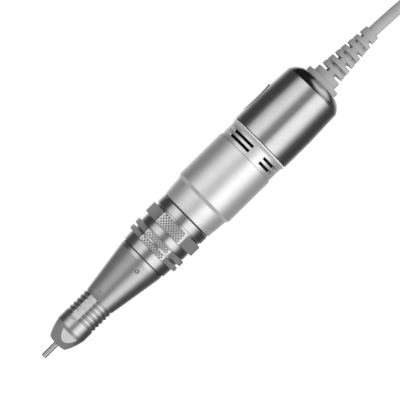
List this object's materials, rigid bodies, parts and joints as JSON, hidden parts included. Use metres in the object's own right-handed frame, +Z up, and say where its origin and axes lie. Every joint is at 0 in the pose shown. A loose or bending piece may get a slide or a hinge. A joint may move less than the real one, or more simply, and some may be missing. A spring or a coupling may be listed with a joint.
{
  "type": "electric nail drill",
  "caption": "Pen-shaped electric nail drill handpiece with a turn-to-open chuck collar, a brushed motor inside, and a folded lead with a round plug.",
  "frame": {"origin": "centre of the handpiece's box (shank tip to strain relief end), on the surface it lies on", "axes": "+X along the handpiece from the nose to the lead; +Z up; the blank badge is on the +Y side"},
  "size_m": [0.349, 0.0432, 0.0284],
  "materials": {
    "nose_metal": "fine satin grey",
    "collar_metal": "polished bands, knurled rings",
    "barrel_aluminium": "light satin",
    "cap_metal": "polished",
    "badge_metal": "satin, blank",
    "bright_steel": "bright ground",
    "dark_steel": "dull",
    "magnet": "dull grey",
    "brass": "bright",
    "copper": "lacquered wire and copper bars",
    "carbon": "dull black carbon",
    "black_plastic": "moulded",
    "grey_rubber": "moulded, matte",
    "grey_cord": "smooth jacket",
    "red_wire": "insulation",
    "black_wire": "insulation"
  },
  "bodies": {
    "root": {"nose_cap": "nose_metal", "nose_sleeve": "nose_metal", "motor_barrel": "barrel_aluminium", "vent_ring": "barrel_aluminium", "rear_cap": "cap_metal", "name_plate": "badge_metal", "front_bearing_outer": "bright_steel", "mid_bearing_outer": "bright_steel", "motor_front_bearing_outer": "bright_steel", "motor_rear_bearing_outer": "bright_steel", "brush_spring_1": "bright_steel", "brush_spring_2": "bright_steel", "plug_barrel": "bright_steel", "chuck_tube": "dark_steel", "bearing_spacer": "dark_steel", "motor_can": "dark_steel", "motor_front_plate": "dark_steel", "nose_set_screw": "dark_steel", "magnet_1": "magnet", "magnet_2": "magnet", "bearing_nut": "brass", "brush_holder_1": "brass", "brush_holder_2": "brass", "brush_cap_1": "brass", "brush_cap_2": "brass", "brush_frame": "black_plastic", "cord_clamp": "black_plastic", "hank_tie": "black_plastic", "strain_relief": "grey_rubber", "plug_body": "grey_rubber", "cord_lead": "grey_cord", "cord_hank": "grey_cord", "cord_tail": "grey_cord", "lead_red": "red_wire", "lead_black": "black_wire"},
    "collar": {"chuck_collar": "collar_metal"},
    "pusher": {"pusher_sleeve": "bright_steel", "cam_pin_1": "bright_steel", "cam_pin_2": "bright_steel"},
    "rotor": {"motor_shaft": "bright_steel", "rotor_core": "dark_steel", "rotor_winding": "copper", "commutator": "copper", "fan": "black_plastic", "drive_coupling": "dark_steel", "motor_front_bearing_inner": "bright_steel", "motor_rear_bearing_inner": "bright_steel"},
    "spindle": {"spindle": "bright_steel", "front_bearing_inner": "bright_steel", "mid_bearing_inner": "bright_steel", "driven_coupling": "dark_steel", "chuck_spring": "bright_steel"},
    "collet": {"collet": "bright_steel", "draw_bar": "bright_steel", "draw_pin": "bright_steel", "thrust_ring": "bright_steel"},
    "bit": {"bit_shank": "bright_steel"},
    "brush_1": {"brush_1": "carbon"},
    "brush_2": {"brush_2": "carbon"}
  },
  "joints": [
    {"name": "collar_turn", "type": "hinge", "parent": "root", "child": "collar", "pos_m": [-0.0242, 0, 0.01418], "axis": [1, 0, 0], "range_deg": [0, 35]},
    {"name": "pusher_slide", "type": "slide", "parent": "root", "child": "pusher", "axis": [-1, 0, 0], "range_m": [0, 0.0012]},
    {"name": "rotor_spin", "type": "hinge", "parent": "root", "child": "rotor", "pos_m": [0.0093, 0, 0.01418], "axis": [1, 0, 0], "continuous": true},
    {"name": "spindle_spin", "type": "hinge", "parent": "root", "child": "spindle", "pos_m": [-0.0502, 0, 0.01418], "axis": [1, 0, 0], "continuous": true},
    {"name": "collet_slide", "type": "slide", "parent": "spindle", "child": "collet", "axis": [-1, 0, 0], "range_m": [0, 0.0012], "deforming": ["chuck_spring"]},
    {"name": "bit_pull", "type": "slide", "parent": "collet", "child": "bit", "axis": [-1, 0, 0], "range_m": [0, 0.031]},
    {"name": "brush_1_slide", "type": "slide", "parent": "root", "child": "brush_1", "axis": [0, 1, 0], "range_m": [0, 0.0008], "stiffness_N_per_m": 400, "springref_m": -0.001, "deforming": ["brush_spring_1"]},
    {"name": "brush_2_slide", "type": "slide", "parent": "root", "child": "brush_2", "axis": [0, -1, 0], "range_m": [0, 0.0008], "stiffness_N_per_m": 400, "springref_m": -0.001, "deforming": ["brush_spring_2"]}
  ],
  "couplings": [
    {"joint": "pusher_slide", "follows": "collar_turn", "m_per_rad": 0.001964},
    {"joint": "collet_slide", "follows": "collar_turn", "m_per_rad": 0.001964},
    {"joint": "spindle_spin", "follows": "rotor_spin", "ratio": 1}
  ]
}
